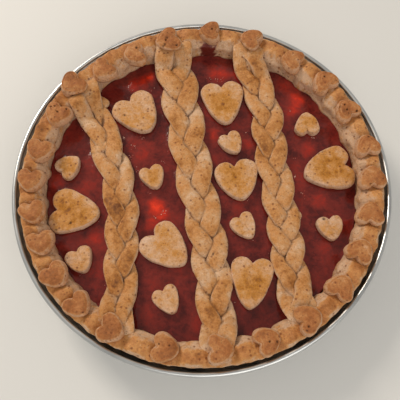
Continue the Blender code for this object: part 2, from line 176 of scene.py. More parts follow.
def tinplateMaterial():
    # drawn tinplate: satin grey with fine turning lines round the axis, a little duller where it was handled
    material, tree, shader = newMaterial("drawnTinplate")
    place = addNode(tree, "TexCoord").outputs["Object"]
    handled = addNode(tree, "TexNoise", {"Vector": place, "Scale": 1 / 0.030, "Detail": 3.0})
    apart = addNode(tree, "SeparateXYZ", {0: place})
    flat = addNode(tree, "CombineXYZ", {0: apart, 1: apart.outputs[1]})
    reach = addNode(tree, "VectorMath", {0: flat}, operation="LENGTH")
    lines = addNode(tree, "TexNoise", {
        "W": reach.outputs["Value"], "Scale": 1 / 0.0006, "Detail": 2.0}, noise_dimensions="1D")
    rough = addNode(tree, "MapRange", {"Value": handled, "To Min": 0.22, "To Max": 0.42})
    colour = addNode(tree, "ValToRGB", {0: handled},
                     stops=[(0.3, "b9bcbd"), (0.7, "d4d6d6")])
    bump = addNode(tree, "Bump", {
        "Height": lines, "Strength": 0.25, "Distance": 0.00008})
    fillSockets(tree, shader, {"Base Color": colour, "Roughness": rough, "Normal": bump, "Metallic": 1.0})
    return material


def makeTin(material):
    size = tinSize
    flangeLevel = size["height"] - size["flangeDrop"]
    beadMiddle = (size["radius"] - size["bead"], size["height"] - size["bead"])
    firstTurn = -math.pi - math.asin((flangeLevel - size["sheet"] - beadMiddle[1]) / size["bead"])
    lastTurn = math.pi - math.asin((flangeLevel - beadMiddle[1]) / size["bead"])
    bead = []
    for step in range(size["beadSteps"] + 1):
        turn = firstTurn + (lastTurn - firstTurn) * step / size["beadSteps"]
        bead.append((beadMiddle[0] + size["bead"] * math.cos(turn),
                     beadMiddle[1] + size["bead"] * math.sin(turn)))
    base, sheet, flange = size["base"], size["sheet"], size["flange"]
    outside = [(0.0, 0.0), (base - 0.0006, 0.0), (base + 0.0006, 0.0003), (base + 0.0016, 0.0012),
               (flange + 0.0002, flangeLevel - sheet - 0.0012), (flange + 0.0014, flangeLevel - sheet)]
    inside = [(flange + 0.0008, flangeLevel), (flange - 0.0004, flangeLevel - 0.0010),
              (base + sheet, 2 * sheet), (base - sheet, sheet), (0.0, sheet)]
    mesh = spinProfile(outside + bead + inside, size["segments"])
    return finishPiece(mesh, "pieTin", material, ["tin"])


# baked pastry: shared by the border, the plaits and the hearts
pastryGrain = {"patchSize": 0.0075, "mottleSize": 0.0025, "grainSize": 0.0011,
               "darkest": 0.86, "lightest": 1.12}
# dots in it: which spacing they keep, which colour of their cell is their lot and its least value, how far
# from its middle a dot is full and where it ends, as a share of the spacing
pastryDots = (
    {"spacing": "speckSpacing", "lot": 0, "least": 0.60, "full": 0.12, "end": 0.30,
     "strength": 0.80, "colour": "703a18"},
    {"spacing": "poreSpacing", "lot": 1, "least": 0.55, "full": 0.10, "end": 0.26,
     "strength": 0.75, "colour": "7d4a26"},
)
pastryCracks = {"spacing": 0.0088, "width": 0.05, "strength": 0.55, "bendSize": 0.006, "bend": 0.007,
                "shownFrom": 0.42, "shownTo": 0.62, "colour": "8a5a34"}
# colours of what bakeSurface and markGroovesAndShade draw on a piece, laid over each other in this order:
# painted shade in pits, painted shade in creases, then the juice's stain
drawnColours = {"pitShade": "3a1d0e", "creaseShade": "553219", "juice": "5e0f08"}
# how far every piece browns and stains: slow and ragged unevenness, lumps, painted shade in the pits, and the
# band over the filling that the juice reached
bakeMarks = {"wideSize": 0.014, "raggedSize": 0.0035, "lump": 0.10, "pitShade": 0.85, "upright": (0.45, 0.97),
             "stain": 0.8, "stainFrom": 0.0002, "stainTo": 0.0011}


def pastryMaterial(name, look):
    # shortcrust with egg wash: matt crumb with fine grain, pale sides, tops golden and browned in patches
    material, tree, shader = newMaterial(name)
    size, cracks = pastryGrain, pastryCracks
    place = addNode(tree, "TexCoord").outputs["Object"]
    drawn = {}
    for layer in ("browning", *drawnColours):
        drawn[layer] = addNode(tree, "Attribute", attribute_name=layer).outputs["Fac"]
    patch = addNode(tree, "TexNoise", {
        "Vector": place, "Scale": 1 / size["patchSize"], "Detail": 4.0, "Roughness": 0.6})
    mottle = addNode(tree, "TexNoise", {
        "Vector": place, "Scale": 1 / size["mottleSize"], "Detail": 4.0, "Roughness": 0.65})
    grain = addNode(tree, "TexNoise", {
        "Vector": place, "Scale": 1 / size["grainSize"], "Detail": 2.0, "Roughness": 0.75})
    swings = []
    for texture, amount in ((patch, look["patch"]), (mottle, look["mottle"])):
        swings.append(addNode(tree, "Math", {0: texture, 1: amount, 2: -0.5 * amount},
                              operation="MULTIPLY_ADD").outputs[0])
    unevenness = addNode(tree, "Math", {0: swings[0], 1: swings[1]}, operation="ADD")
    share = addNode(tree, "Math", {0: drawn["browning"], 1: unevenness},
                    operation="ADD", use_clamp=True)
    tone = addNode(tree, "ValToRGB", {0: share}, stops=look["tones"])
    speckle = addNode(tree, "MapRange", {
        "Value": grain, "From Min": 0.3, "From Max": 0.7,
        "To Min": size["darkest"], "To Max": size["lightest"]})
    grained = addNode(tree, "VectorMath", {0: tone, "Scale": speckle},
                      operation="SCALE")
    shown = grained.outputs[0]
    for dots in pastryDots:
        cells = addNode(tree, "TexVoronoi", {"Vector": place, "Scale": 1 / look[dots["spacing"]]})
        dark = addNode(tree, "MapRange", {
            "Value": cells.outputs["Distance"], "From Min": dots["full"], "From Max": dots["end"],
            "To Min": dots["strength"], "To Max": 0.0})
        lot = addNode(tree, "SeparateColor", {0: cells.outputs["Color"]})
        chosen = addNode(tree, "Math", {0: lot.outputs[dots["lot"]], 1: dots["least"]},
                         operation="GREATER_THAN")
        mask = addNode(tree, "Math", {0: dark, 1: chosen}, operation="MULTIPLY")
        shown = addNode(tree, "Mix", {0: mask, 6: shown, 7: toLinear(dots["colour"])},
                        data_type="RGBA").outputs[2]
    bend = addNode(tree, "TexNoise", {"Vector": place, "Scale": 1 / cracks["bendSize"], "Detail": 2.0})
    bent = addNode(tree, "VectorMath", {0: bend.outputs[1], 1: [cracks["bend"]] * 3, 2: place},
                   operation="MULTIPLY_ADD")
    edges = addNode(tree, "TexVoronoi", {"Vector": bent, "Scale": 1 / cracks["spacing"]},
                    feature="DISTANCE_TO_EDGE")
    crackLine = addNode(tree, "MapRange", {
        "Value": edges, "From Max": cracks["width"], "To Min": cracks["strength"], "To Max": 0.0})
    crackHere = addNode(tree, "MapRange", {
        "Value": mottle, "From Min": cracks["shownFrom"], "From Max": cracks["shownTo"]})
    crackMask = addNode(tree, "Math", {0: crackLine, 1: crackHere},
                        operation="MULTIPLY")
    # crack lines, then painted shade in pits and creases, then the juice stain, each mixed over the baked
    # colour
    masks = [(crackMask.outputs[0], cracks["colour"])]
    masks += [(drawn[layer], colour) for layer, colour in drawnColours.items()]
    for mask, colour in masks:
        shown = addNode(tree, "Mix", {0: mask, 6: shown, 7: toLinear(colour)},
                        data_type="RGBA").outputs[2]
    heights = addNode(tree, "Math", {0: grain, 1: 0.45, 2: mottle},
                      operation="MULTIPLY_ADD")
    bump = addNode(tree, "Bump", {"Height": heights, "Strength": 0.6, "Distance": 0.0006})
    rough = addNode(tree, "MapRange", {"Value": drawn["juice"], "To Min": 0.66, "To Max": 0.34})
    fillSockets(tree, shader, {
        "Base Color": shown, "Normal": bump, "Roughness": rough, "IOR": 1.40, "Subsurface Weight": 0.08,
        "Subsurface Radius": (1.0, 0.55, 0.30), "Subsurface Scale": 0.0012})
    return material


def bakeSurface(mesh, look, lowest, highest, restsOn=lambda place: 0.0):
    # lumps, grain and blown pits moved into the mesh, and how far each point is browned, darkened by painted
    # shade in its pit and stained
    marks = bakeMarks
    browning = mesh.verts.layers.float.new("browning")
    pitShadeLayer = mesh.verts.layers.float.new("pitShade")
    juiceLayer = mesh.verts.layers.float.new("juice")
    bmesh.ops.recalc_face_normals(mesh, faces=mesh.faces)
    mesh.normal_update()
    shift = Vector(look["seed"])
    stainFrom = fillingSize["level"] + marks["stainFrom"]
    stainTo = fillingSize["level"] + marks["stainTo"]
    moved = []
    for point in mesh.verts:
        place = point.co + shift
        lump = noise.noise(place / look["lumpSize"])
        grain = noise.fractal(place / look["grainSize"], 0.9, 2.0, 3)
        distances, centres = noise.voronoi(place / look["pitSpacing"])
        lot = noise.noise(centres[0] * 3.7) * 0.5 + 0.5
        pitSize = look["pitRadius"] / look["pitSpacing"] * (0.5 + lot)
        depth = 1 - smoothStep(distances[0], 0.45 * pitSize, pitSize) if lot > 1 - look["pitShare"] else 0.0
        up = smoothStep(point.normal.z, *look.get("upright", marks["upright"]))
        depth *= up
        height = look["lump"] * lump + look["grain"] * grain - look["pitDepth"] * depth
        moved.append(point.co + point.normal * height)
        high = smoothStep(point.co.z - restsOn(point.co), lowest, highest)
        wide = noise.noise(place / marks["wideSize"])
        top = look["top"] + look["high"] * high + look["wide"] * wide
        share = look["side"] + up * top + marks["lump"] * lump
        for x, y, radius, amount in look.get("browned", ()):
            away = math.hypot(point.co.x - x, point.co.y - y)
            if away < radius:
                ragged = 0.75 + 0.5 * noise.noise(place / marks["raggedSize"])
                share += amount * up * ragged * (1 - smoothStep(away, 0.25 * radius, radius))
        point[browning] = min(max(share, 0.0), 1.0)
        # painted shade in the pit, darker the deeper the dent
        point[pitShadeLayer] = marks["pitShade"] * depth
        point[juiceLayer] = marks["stain"] - marks["stain"] * smoothStep(point.co.z, stainFrom, stainTo)
    for point, place in zip(mesh.verts, moved):
        point.co = place


# border of the crust, with a crimp between every two of its hearts
rimHearts = {
    # compass bearings, clockwise from the far side, uneven as they were laid by hand
    "bearings": (2.9, 18.6, 36.0, 50.4, 64.0, 79.0, 90.8, 103.8, 117.2, 131.0, 145.6, 159.6, 174.2,
                 190.8, 208.0, 221.0, 233.2, 245.2, 256.4, 267.8, 279.2, 294.4, 306.6, 319.0, 332.8, 346.7),
    "radii": {1: 0.1140, 2: 0.1116, 4: 0.1124, 6: 0.1128, 21: 0.1094, 22: 0.1088, 23: 0.1126, 24: 0.1072,
              25: 0.1066, 26: 0.1080},
    "sizes": {1: 0.96, 22: 1.06, 23: 1.10, 24: 1.02, 25: 1.00, 26: 1.14},
    "raised": (2, 11, 13, 15, 23, 26), "lift": 0.0060, "liftEnds": (0.1072, 0.1122), "gap": 0.0006,
    "twist": math.radians(9), "lean": 0.12, "seat": 0.0011,
    "width": 0.0178, "length": 0.0160, "radius": 0.1110, "thickness": 0.0052,
}
crustSize = {"inner": 0.1062, "outer": 0.1196, "rise": 0.1022, "crest": 0.1150, "innerDrop": 0.0030,
             "crestRise": 0.0008, "outerFall": 0.0008, "crimpHeight": 0.0032,
             "crimpToHeart": math.radians(3.5), "crimpPower": 1.2, "crimpIn": (0.1062, 0.1092),
             "crimpOut": (0.1170, 0.1197),
             "wall": (0.1064, 0.1085), "wallWave": 0.0008, "wallShift": 0.0002, "wallBulge": 0.0014,
             "unevenFrom": 0.1045, "unevenAbove": 0.0195, "pale": (0.1056, 0.1125),
             "browns": (0.0325, 0.0375), "segments": 800, "spacing": 0.00070}
crustLook = {"seed": (0.31, 0.12, 0.0), "lump": 0.00085, "lumpSize": 0.0058, "grain": 0.00020,
             "grainSize": 0.0024, "pitSpacing": 0.0068, "pitShare": 0.42, "pitRadius": 0.0009,
             "pitDepth": 0.0008, "side": 0.04, "top": 0.24, "high": 0.20, "wide": 0.34}
# juice that bubbled over the border's inner wall: bearing in degrees, half width in degrees, radii, strength
juiceRun = {"bearing": 2.6, "halfWidth": 3.2, "from": 0.1040, "fade": 0.003, "upTo": 0.1105,
            "raggedSize": 0.0022, "strength": 0.97}
fillingSize = {"level": 0.0220, "radius": 0.1056, "floor": 0.0070, "foot": 0.0885, "meniscus": 0.0005,
               "reach": 0.0016, "wave": 0.0002, "cherryHeight": 0.0005, "rings": 124, "segments": 440}


def borderHeight(radius):
    size = crustSize
    crest = tinSize["height"] + size["crestRise"]
    if radius < size["crest"]:
        rise = smoothStep(radius, size["rise"], size["crest"])
        return tinSize["height"] - size["innerDrop"] + (crest - tinSize["height"] + size["innerDrop"]) * rise
    fall = (radius - size["crest"]) / (size["outer"] - size["crest"])
    return crest - size["outerFall"] * min(fall, 1.0) ** 2


def makeCrust(material):
    size, run = crustSize, juiceRun
    bearings = rimHearts["bearings"]
    crimps = []
    for here, ahead in zip(bearings, bearings[1:] + (bearings[0] + 360,)):
        halfWidth = math.radians((ahead - here) / 2) - size["crimpToHeart"]
        crimps.append((math.radians((here + ahead) / 2), halfWidth))
    # outlines of (radius, height): a soft curve where the crust shows, straight lines where it is hidden
    shownLine = [(0.1193, 0.0336), (0.1196, 0.0345), (0.1189, 0.0353), (0.1150, 0.0358), (0.1118, 0.0352),
                 (0.1090, borderHeight(0.1090)), (0.1070, 0.0322), (0.1062, 0.0311), (0.1059, 0.0285),
                 (0.1057, 0.0240), (0.1054, 0.0205)]
    shown = smoothRoute([(radius, height, 0.0) for radius, height in shownLine], size["spacing"])
    hiddenUnder = [(0.0, 0.0013), (0.0930, 0.0013), (0.1158, 0.0335)]
    hiddenInside = [(0.0900, 0.0065), (0.0, 0.0065)]
    profile = hiddenUnder + [(point.x, point.y) for point in shown] + hiddenInside
    mesh = spinProfile(profile, size["segments"])
    for point in mesh.verts:
        radius = math.hypot(point.co.x, point.co.y)
        if radius < size["unevenFrom"] or point.co.z < size["unevenAbove"]:
            continue
        bearing = math.atan2(point.co.x, point.co.y) % math.tau
        away = min(abs((bearing - crimp + math.pi) % math.tau - math.pi) / width for crimp, width in crimps)
        hump = max(1 - away ** 2, 0.0) ** size["crimpPower"]
        window = smoothStep(radius, *size["crimpIn"]) * (1 - smoothStep(radius, *size["crimpOut"]))
        point.co.z += size["crimpHeight"] * window * hump
        out = Vector((math.sin(bearing), math.cos(bearing), 0.0))
        wall = 1 - smoothStep(radius, *size["wall"])
        wave = noise.noise(Vector((math.sin(bearing) * 7, math.cos(bearing) * 7, 0.3)))
        point.co -= out * wall * (size["wallWave"] * wave + size["wallShift"] + size["wallBulge"] * hump)
    bakeSurface(mesh, crustLook, *size["browns"])
    juiceLayer = mesh.verts.layers.float["juice"]
    browning = mesh.verts.layers.float["browning"]
    for point in mesh.verts:
        radius = math.hypot(point.co.x, point.co.y)
        if radius > run["upTo"] + 0.002 or radius < run["from"]:
            continue
        bearing = math.degrees(math.atan2(point.co.x, point.co.y))
        ragged = 1 + 0.6 * noise.noise(point.co / run["raggedSize"])
        across = abs(bearing - run["bearing"]) / (run["halfWidth"] * ragged)
        stained = 1 - smoothStep(across, 0.7, 1.1)
        stained *= 1 - smoothStep(radius, run["upTo"] - run["fade"], run["upTo"])
        point[juiceLayer] = max(point[juiceLayer], run["strength"] * stained)
        # the wall under the border's edge stayed pale
        point[browning] *= smoothStep(radius, *size["pale"])
    return finishPiece(mesh, "crustShell", material, ["crust"])


# hearts cut from rolled pastry, laid on the filling: node, x, y, bearing of the tip, width, length
largeHearts = (
    ("large_heart_1", -0.0452, 0.0522, -57, 0.0318, 0.0332),
    ("large_heart_2", 0.0158, 0.0612, -84, 0.0308, 0.0345),
    ("large_heart_3", 0.0247, 0.0010, -78, 0.0298, 0.0292),
    ("large_heart_4", 0.0862, 0.0090, -166, 0.0318, 0.0340),
    ("large_heart_5", -0.0836, -0.0216, -5, 0.0312, 0.0330),
    ("large_heart_6", -0.0221, -0.0462, -44, 0.0292, 0.0320),
    ("large_heart_7", 0.0313, -0.0690, -96, 0.0276, 0.0335),
)
smallHearts = (
    ("small_heart_1", -0.0908, 0.0120, 44, 0.0170, 0.0172),
    ("small_heart_2", -0.0775, -0.0545, -63, 0.0175, 0.0172),
    ("small_heart_3", -0.0330, 0.0032, -68, 0.0172, 0.0175),
    ("small_heart_4", 0.0213, 0.0290, -61, 0.0165, 0.0172),
    ("small_heart_5", 0.0749, 0.0446, 91, 0.0178, 0.0172),
    ("small_heart_6", 0.0285, -0.0318, -58, 0.0168, 0.0178),
    ("small_heart_7", 0.0846, -0.0330, -82, 0.0175, 0.0170),
    ("small_heart_8", -0.0208, -0.0798, -61, 0.0172, 0.0182),
)
heartShape = {"largeThickness": 0.0065, "smallThickness": 0.0060,
              "largeSteps": (30, 26), "smallSteps": (20, 16),
              "sunk": 0.0004, "dome": 0.0003, "topRings": 20, "topScale": 0.905, "topFall": 0.015,
              "wobble": 0.022, "cleft": 0.0005, "cleftAcross": (0.02, 0.13), "cleftAlong": (-0.20, 0.22),
              "browns": (0.004, 0.0072),
              # the outline: share of the width in a lobe's radius, where its arc ends, how full the sides
              # are when they leave it and when they arrive at the tip, rounds of softening
              "lobe": 0.262, "arcEnd": math.radians(-8), "leaving": 0.30,
              "arriving": (-0.03, 0.23), "rounds": 3,
              # the side's rings from the underside up: scale, share of the thickness
              "side": ((0.955, 0.06), (0.980, 0.18), (0.994, 0.32), (1.000, 0.46), (0.999, 0.60),
                       (0.992, 0.73), (0.979, 0.83), (0.960, 0.91), (0.936, 0.965))}
heartLook = {"lump": 0.00040, "lumpSize": 0.0065, "grain": 0.00016, "grainSize": 0.0020,
             "pitSpacing": 0.0070, "pitShare": 0.44, "pitRadius": 0.0011, "pitDepth": 0.0009,
             "side": 0.02, "top": 0.20, "high": 0.10, "wide": 0.22}
# places that browned more: x, y, radius, how much; on large hearts 4, 5 and 7 the amount also holds painted
# shade
heartBrowning = {
    "large_heart_1": ((-0.0480, 0.0500, 0.014, 0.12),),
    "large_heart_2": ((0.0158, 0.0585, 0.0150, 0.38),),
    "large_heart_3": ((0.0250, 0.0010, 0.016, 0.36),),
    "large_heart_4": ((0.0890, 0.0100, 0.019, 0.48), (0.0800, 0.0150, 0.008, 0.16)),
    "large_heart_5": ((-0.0850, -0.0210, 0.019, 0.46),),
    "large_heart_6": ((-0.0240, -0.0440, 0.013, 0.14),),
    "large_heart_7": ((0.0315, -0.0700, 0.017, 0.40),),
    "small_heart_1": ((-0.0905, 0.0120, 0.009, 0.34),),
    "small_heart_3": ((-0.0335, 0.0030, 0.008, 0.46),),
    "small_heart_5": ((0.0765, 0.0450, 0.008, 0.46),),
    "small_heart_7": ((0.0846, -0.0330, 0.008, 0.22),),
    "small_heart_8": ((-0.0208, -0.0798, 0.008, 0.18),),
}


def heartOutline(width, length, lobeSteps, sideSteps):
    # two arcs for the lobes and two full sides to a round tip towards +X, softened at the cutter's corners
    shape = heartShape
    lobe = shape["lobe"] * width
    offset = width / 2 - lobe
    lobeX = -length / 2 + lobe
    arcEnd = shape["arcEnd"]
    arcStart = math.pi / 2 + math.asin(offset / lobe)
    half = []
    for step in range(lobeSteps + 1):
        turn = arcStart + (arcEnd - arcStart) * step / lobeSteps
        half.append(Vector((lobeX - lobe * math.sin(turn), offset + lobe * math.cos(turn))))
    start = half[-1]
    tip = Vector((length / 2, 0.0))
    leaving = start + Vector((math.cos(arcEnd), math.sin(arcEnd))) * (shape["leaving"] * length)
    arriving = tip + Vector((shape["arriving"][0] * length, shape["arriving"][1] * width))
    for step in range(1, sideSteps + 1):
        t = step / sideSteps
        upper = start * (1 - t) ** 3 + leaving * 3 * t * (1 - t) ** 2
        half.append(upper + arriving * 3 * t ** 2 * (1 - t) + tip * t ** 3)
    outline = half + [Vector((point.x, -point.y)) for point in reversed(half[1:-1])]
    for _ in range(shape["rounds"]):
        behind = outline[-1:] + outline[:-1]
        ahead = outline[1:] + outline[:1]
        outline = [(last + here * 2 + coming) / 4 for last, here, coming in zip(behind, outline, ahead)]
    return outline


def stackRings(outline, layers, closeHeight):
    # the outline's ring is extruded and scaled from layer to layer, then drawn together on top
    mesh = bmesh.new()
    scale, height = layers[0]
    ring = [mesh.verts.new((point.x * scale, point.y * scale, height)) for point in outline]
    edges = [mesh.edges.new(pair) for pair in zip(ring, ring[1:] + ring[:1])]
    bmesh.ops.contextual_create(mesh, geom=edges)
    for (lastScale, lastHeight), (scale, height) in zip(layers, layers[1:]):
        drawn = bmesh.ops.extrude_edge_only(mesh, edges=edges)["geom"]
        ring = [part for part in drawn if isinstance(part, bmesh.types.BMVert)]
        edges = [part for part in drawn if isinstance(part, bmesh.types.BMEdge)]
        bmesh.ops.scale(mesh, vec=(scale / lastScale, scale / lastScale, 1.0), verts=ring)
        bmesh.ops.translate(mesh, vec=(0.0, 0.0, height - lastHeight), verts=ring)
    bmesh.ops.pointmerge(mesh, verts=ring, merge_co=(0.0, 0.0, closeHeight))
    return mesh


def makeFillingHeart(node, x, y, tip, width, length, thickness, steps, material):
    shape = heartShape
    level = fillingSize["level"]
    layers = [(0.93, -shape["sunk"])] + [(scale, share * thickness) for scale, share in shape["side"]]
    rings = shape["topRings"]
    for number in range(1, rings + 1):
        scale = shape["topScale"] * (1 - number / (rings + 0.4))
        height = thickness * (1.0 - shape["topFall"] * scale) + shape["dome"] * (1 - scale ** 2)
        layers.append((scale, height))
    mesh = stackRings(heartOutline(width, length, *steps), layers, thickness + shape["dome"])
    for point in mesh.verts:
        wobble = noise.noise(Vector((point.co.x * 90 + x * 900, point.co.y * 90, y * 900)))
        # shallow cleft that runs in from the notch, as the dough was pulled there
        inCleft = 1 - smoothStep(abs(point.co.y) / width, *shape["cleftAcross"])
        alongCleft = 1 - smoothStep(point.co.x / length, *shape["cleftAlong"])
        if point.co.z > 0.8 * thickness:
            point.co.z -= shape["cleft"] * inCleft * alongCleft
        point.co.x *= 1 + shape["wobble"] * wobble
        point.co.y *= 1 - shape["wobble"] * wobble
    turned = Matrix.Translation((x, y, level)) @ Matrix.Rotation(math.radians(tip), 4, "Z")
    bmesh.ops.transform(mesh, matrix=turned, verts=mesh.verts)
    look = dict(heartLook, seed=(x * 7, y * 5, 0.4), browned=heartBrowning.get(node, ()))
    bakeSurface(mesh, look, *(level + height for height in shape["browns"]))
    return finishPiece(mesh, node.replace("_heart_", "Heart"), material, [node])


# small thick hearts across the border, one lobe towards the filling and one over the bead
rimHeartLook = {"lump": 0.00040, "lumpSize": 0.0048, "grain": 0.00018, "grainSize": 0.0021,
                "pitSpacing": 0.0046, "pitShare": 0.44, "pitRadius": 0.0010, "pitDepth": 0.0010,
                "side": 0.04, "top": 0.36, "high": 0.08, "wide": 0.24}
# pits of the few that blew up in the oven
holedLook = {"pitSpacing": 0.0031, "pitShare": 0.62, "pitRadius": 0.0009, "pitDepth": 0.0011}
# plump like a pillow, with a dent round the top where the dough sank; low rings: scale, share of the height
rimHeartShape = {"lowRings": ((0.92, -0.12), (0.975, 0.04), (1.0, 0.18)), "steps": 26, "edge": 0.30,
                 "flat": 0.50, "dentScale": 0.70, "dentWidth": 0.075, "dent": 0.055,
                 "deepDents": {1: 0.08, 2: 0.06, 3: 0.06, 4: 0.08, 5: 0.10, 6: 0.07, 23: 0.09, 26: 0.09},
                 "holed": (1, 4, 5, 22, 26), "outline": (18, 14), "browns": (0.038, 0.0440)}


def rimHeartRings(number):
    shape = rimHeartShape
    dent = shape["deepDents"].get(number, shape["dent"] * (0.5 + 0.5 * math.sin(1.7 * number) ** 2))
    rings = list(shape["lowRings"])
    for step in range(shape["steps"] + 1):
        scale = 1.0 - 0.92 * (step / shape["steps"]) ** 1.15
        out = max((scale - shape["flat"]) / (1 - shape["flat"]), 0.0)
        height = shape["edge"] + (1 - shape["edge"]) * math.sqrt(1 - out ** 2.4)
        sunk = dent * math.exp(-((scale - shape["dentScale"]) / shape["dentWidth"]) ** 2)
        rings.append((scale * 0.999, height - sunk))
    return rings


def makeRimHeart(number, material):
    hearts, shape = rimHearts, rimHeartShape
    bearing = math.radians(hearts["bearings"][number - 1])
    size = hearts["sizes"].get(number, 1 + 0.03 * math.sin(1.9 * number))
    reach = hearts["radii"].get(number, hearts["radius"] + 0.0008 * math.sin(1.3 * number))
    lift = hearts["lift"] if number in hearts["raised"] else 0.0
    centre = Vector((math.sin(bearing), math.cos(bearing), 0.0)) * reach
    turn = math.atan2(centre.y, centre.x) + math.pi / 2 + hearts["twist"] * math.sin(2.7 * number)
    outline = heartOutline(size * hearts["width"], size * hearts["length"], *shape["outline"])
    mesh = stackRings(outline, rimHeartRings(number), 1.0)
    turned = Matrix.Translation(centre) @ Matrix.Rotation(turn, 4, "Z")
    bmesh.ops.transform(mesh, matrix=turned, verts=mesh.verts)
    for point in mesh.verts:
        radius = math.hypot(point.co.x, point.co.y)
        rest = borderHeight(max(radius, crustSize["inner"]))
        if radius > crustSize["crest"]:
            rest = max(rest, tinSize["height"] + 0.0005)
        rest += hearts["gap"] + lift * (1 - smoothStep(radius, *hearts["liftEnds"]))
        lean = hearts["lean"] * (radius - hearts["radius"])
        top = tinSize["height"] + hearts["seat"] + hearts["thickness"] + lean + 0.4 * lift
        point.co.z = rest + (top - rest) * point.co.z
    look = dict(rimHeartLook, seed=(0.7 * number, 0.2, 0.1))
    if number in shape["holed"]:
        look.update(holedLook)
    bakeSurface(mesh, look, *shape["browns"])
    return finishPiece(mesh, f"rimHeart{number:02d}", material, [f"rim_heart_{number:02d}"])


# plaits of three strands: widths at the far and near end, side whose strand dives first, y of the places
# where they dive, route from far to near
plaits = {
    "plait_left": {
        "widths": (0.0255, 0.0215), "first": "right",
        "dives": (0.044, 0.024, 0.011, -0.004, -0.017, -0.030, -0.0415, -0.053, -0.064, -0.080),
        "route": ((-0.0905, 0.0790), (-0.0792, 0.0565), (-0.0680, 0.0310), (-0.0578, 0.0040),
                  (-0.0527, -0.0240), (-0.0514, -0.0580), (-0.0500, -0.1050))},
    "plait_middle": {
        "widths": (0.0305, 0.0236), "first": "left",
        "dives": (0.066, 0.052, 0.035, 0.020, 0.004, -0.011, -0.027, -0.0385, -0.051, -0.062,
                  -0.0745, -0.088),
        "route": ((-0.0240, 0.1130), (-0.0180, 0.0820), (-0.0112, 0.0420), (-0.0040, 0.0000),
                  (0.0034, -0.0380), (0.0076, -0.0700), (0.0112, -0.1140))},
    "plait_right": {
        "widths": (0.0248, 0.0228), "first": "left",
        "dives": (0.0695, 0.0555, 0.043, 0.032, 0.019, 0.006, -0.009, -0.0205, -0.031, -0.0405, -0.050,
                  -0.0615, -0.074),
        "route": ((0.0310, 0.1120), (0.0390, 0.0800), (0.0458, 0.0560), (0.0486, 0.0180), (0.0530, -0.0200),
                  (0.0562, -0.0560), (0.0606, -0.1000))},
}
plaitShape = {"share": 0.47, "sway": 0.50, "uneven": 0.06, "thickness": 0.0048, "rise": 0.0022,
              "foot": 0.0003, "spacing": 0.0008, "sides": 48, "square": 2.25,
              "thinFrom": 0.1064, "endRadius": 0.1118,
              "farEnd": (0.084, 0.098), "diveTurn": {"left": 0.525, "right": 1.025},
              "looseRadius": 0.0042, "looseParts": 20, "looseSides": 28,
              "creaseReach": 0.0011, "creasesEnd": (0.094, 0.102), "alike": (0.80, 0.97),
              "grooveReach": 0.0030, "grooveDepth": 0.0007, "browns": (0.0050, 0.0085)}
# strand ends that stick out: plait, root inside it, tip beyond its side
looseEnds = (
    ("plait_left", (-0.0805, 0.0650), (-0.0668, 0.0604)),
    ("plait_left", (-0.0640, 0.0280), (-0.0765, 0.0215)),
    ("plait_right", (0.0540, -0.0350), (0.0650, -0.0215)),
    ("plait_middle", (0.0060, -0.0690), (0.0165, -0.0590)),
)
plaitLook = {"lump": 0.00032, "lumpSize": 0.0060, "grain": 0.00016, "grainSize": 0.0021,
             "pitSpacing": 0.0074, "pitShare": 0.34, "pitRadius": 0.0009, "pitDepth": 0.0008,
             "side": 0.04, "top": 0.24, "high": 0.20, "wide": 0.50, "upright": (0.30, 0.93)}


def restLevel(place):
    # the filling, then up the border's inner edge and over it
    radius = math.hypot(place.x, place.y)
    climb = smoothStep(radius, crustSize["inner"] - 0.0150, crustSize["inner"] - 0.0005)
    top = tinSize["height"] - crustSize["innerDrop"] + 0.0008
    level = fillingSize["level"] + (top - fillingSize["level"]) * climb
    return max(level, borderHeight(radius) - 0.0006) if radius > crustSize["inner"] else level


def sweepTube(mesh, stations, sides, square):
    # a ring is made at the first station and extruded from station to station; both ends are drawn together
    ring = bmesh.ops.create_circle(mesh, cap_ends=False, radius=1.0, segments=sides)["verts"]
    for point in ring:
        for axis in (0, 1):
            point.co[axis] = math.copysign(abs(point.co[axis]) ** (2 / square), point.co[axis])
    edges = list({edge for point in ring for edge in point.link_edges})
    last = len(stations) - 1
    before = Matrix.Identity(4)
    for number, (centre, halfWidth, halfHeight) in enumerate(stations):
        ahead = (stations[min(number + 1, last)][0] - stations[max(number - 1, 0)][0]).normalized()
        across = Vector((-ahead.y, ahead.x, 0.0)).normalized()
        upward = ahead.cross(across) * -1
        if upward.z < 0:
            upward = -upward
        frameNow = Matrix((across * halfWidth, upward * halfHeight, ahead * 0.001)).transposed().to_4x4()
        frameNow.translation = centre
        if number:
            drawn = bmesh.ops.extrude_edge_only(mesh, edges=edges)["geom"]
            ring = [part for part in drawn if isinstance(part, bmesh.types.BMVert)]
            edges = [part for part in drawn if isinstance(part, bmesh.types.BMEdge)]
        else:
            first = ring
        bmesh.ops.transform(mesh, matrix=frameNow @ before.inverted(), verts=ring)
        before = frameNow
    bmesh.ops.contextual_create(mesh, geom=edges)
    bmesh.ops.contextual_create(mesh, geom=list({edge for point in first for edge in point.link_edges
                                                 if edge.is_boundary}))


def divesPassed(y, dives):
    # how many dives lie between the far end and this y, with the share of the way to the next one
    spans = list(zip(dives, dives[1:]))
    for number, (far, near) in enumerate(spans):
        if y >= near or number == len(spans) - 1:
            return number + (far - y) / (far - near)


